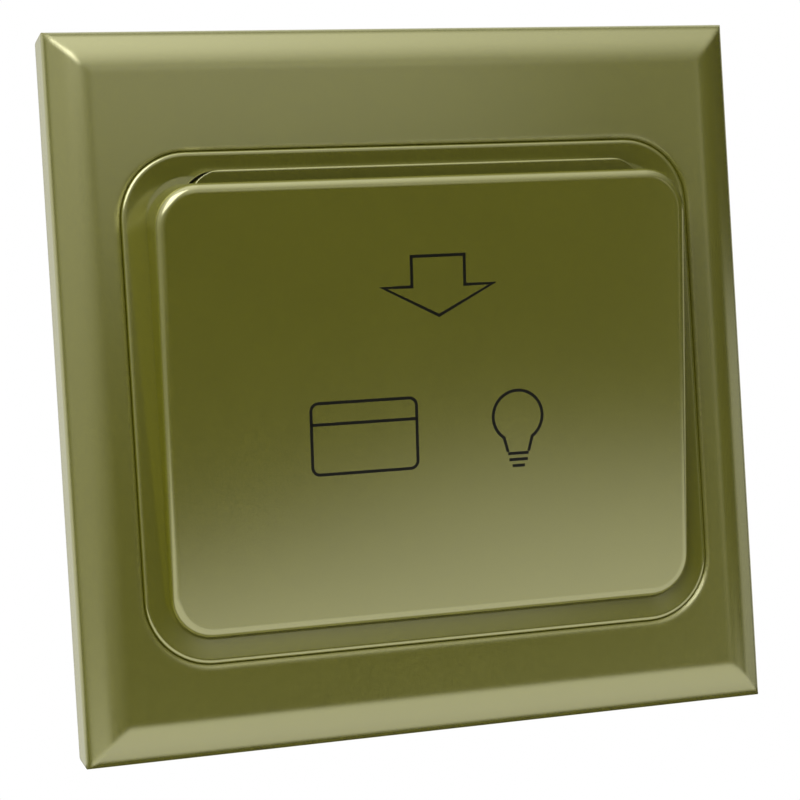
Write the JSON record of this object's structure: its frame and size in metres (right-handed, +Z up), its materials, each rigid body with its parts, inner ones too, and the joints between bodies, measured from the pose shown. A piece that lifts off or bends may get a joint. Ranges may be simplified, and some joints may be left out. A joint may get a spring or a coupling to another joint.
{
  "type": "hotel key card switch",
  "caption": "Square wall switch with a sloping border and a raised leaning cover; a key card goes in along the cover's top edge, presses a lever and lets a relay switch the room's power.",
  "frame": {"origin": "on the wall plane, midway between the two wall screws, at the centre of the face frame", "axes": "+X to the right seen from the room, +Z up, +Y into the wall; the room is at -Y"},
  "size_m": [0.086, 0.0494, 0.086],
  "materials": {
    "gold_paint": "satin champagne gold paint",
    "ivory_plastic": "fine matt",
    "black_plastic": "matt",
    "red_plastic": "gloss",
    "blue_plastic": "gloss",
    "green_plastic": "matt",
    "yellow_plastic": "gloss",
    "board_laminate": "solder mask",
    "steel": "zinc plated",
    "brass": "bright",
    "copper": "copper, enamelled on the windings",
    "ceramic": "glazed",
    "aluminium_can": "sleeved"
  },
  "bodies": {
    "base": {"card_tray": "gold_paint", "base_plate": "ivory_plastic", "tray_screws": "steel", "rear_housing": "ivory_plastic", "reader_board": "board_laminate", "antenna_coil": "copper", "coil_leads": "copper", "reader_chip": "black_plastic", "controller_chip": "black_plastic", "crystal": "steel", "reader_passives": "ceramic", "lever_pin": "steel", "switch_case": "black_plastic", "board_spacers": "ivory_plastic", "stack_screws": "steel", "power_board": "board_laminate", "link_strip": "black_plastic", "link_pins": "brass", "relay_base": "black_plastic", "relay_cover": "blue_plastic", "relay_bobbin": "ivory_plastic", "relay_winding": "copper", "relay_core": "steel", "relay_yoke": "steel", "relay_contact": "copper", "film_capacitor": "yellow_plastic", "bulk_capacitor": "aluminium_can", "varistor": "blue_plastic", "fuse": "black_plastic", "rectifier": "black_plastic", "power_passives": "ceramic", "terminal_block": "green_plastic", "terminal_bars": "brass"},
    "front": {"face_frame": "gold_paint", "insert_ring": "gold_paint", "card_cover": "gold_paint"},
    "lever": {"card_lever": "black_plastic"},
    "button": {"switch_button": "red_plastic"},
    "armature": {"relay_armature": "steel", "relay_blade": "copper"},
    "screw_1": {"terminal_screw_1": "steel"},
    "clamp_1": {"terminal_cage_1": "steel"},
    "screw_2": {"terminal_screw_2": "steel"},
    "clamp_2": {"terminal_cage_2": "steel"},
    "screw_3": {"terminal_screw_3": "steel"},
    "clamp_3": {"terminal_cage_3": "steel"},
    "screw_4": {"terminal_screw_4": "steel"},
    "clamp_4": {"terminal_cage_4": "steel"}
  },
  "joints": [
    {"name": "front_pull", "type": "slide", "parent": "base", "child": "front", "axis": [0, -1, 0], "range_m": [0, 0.03]},
    {"name": "card_press", "type": "hinge", "parent": "base", "child": "lever", "pos_m": [0, -0.00447, -0.004], "axis": [1, 0, 0], "range_deg": [0, 8.1]},
    {"name": "button_press", "type": "slide", "parent": "base", "child": "button", "axis": [0, 1, 0], "range_m": [0, 0.0008376], "stiffness_N_per_m": 220, "springref_m": -0.0007},
    {"name": "armature_close", "type": "hinge", "parent": "base", "child": "armature", "pos_m": [-0.0174, 0.00963, 0.014], "axis": [0, 0, 1], "range_deg": [0, 3.4], "stiffness_Nm_per_rad": 0.02, "springref_deg": -3.44},
    {"name": "screw_1_turn", "type": "hinge", "parent": "base", "child": "screw_1", "pos_m": [-0.0123, 0.03133, -0.017], "axis": [0, -1, 0], "range_deg": [0, 1300]},
    {"name": "clamp_1_rise", "type": "slide", "parent": "base", "child": "clamp_1", "axis": [0, 1, 0], "range_m": [0, 0.0018]},
    {"name": "screw_2_turn", "type": "hinge", "parent": "base", "child": "screw_2", "pos_m": [-0.0041, 0.03133, -0.017], "axis": [0, -1, 0], "range_deg": [0, 1300]},
    {"name": "clamp_2_rise", "type": "slide", "parent": "base", "child": "clamp_2", "axis": [0, 1, 0], "range_m": [0, 0.0018]},
    {"name": "screw_3_turn", "type": "hinge", "parent": "base", "child": "screw_3", "pos_m": [0.0041, 0.03133, -0.017], "axis": [0, -1, 0], "range_deg": [0, 1300]},
    {"name": "clamp_3_rise", "type": "slide", "parent": "base", "child": "clamp_3", "axis": [0, 1, 0], "range_m": [0, 0.0018]},
    {"name": "screw_4_turn", "type": "hinge", "parent": "base", "child": "screw_4", "pos_m": [0.0123, 0.03133, -0.017], "axis": [0, -1, 0], "range_deg": [0, 1300]},
    {"name": "clamp_4_rise", "type": "slide", "parent": "base", "child": "clamp_4", "axis": [0, 1, 0], "range_m": [0, 0.0018]}
  ],
  "couplings": [
    {"joint": "card_press", "follows": "button_press", "rad_per_m": 166.67},
    {"joint": "screw_1_turn", "follows": "clamp_1_rise", "rad_per_m": 12566},
    {"joint": "screw_2_turn", "follows": "clamp_2_rise", "rad_per_m": 12566},
    {"joint": "screw_3_turn", "follows": "clamp_3_rise", "rad_per_m": 12566},
    {"joint": "screw_4_turn", "follows": "clamp_4_rise", "rad_per_m": 12566}
  ]
}
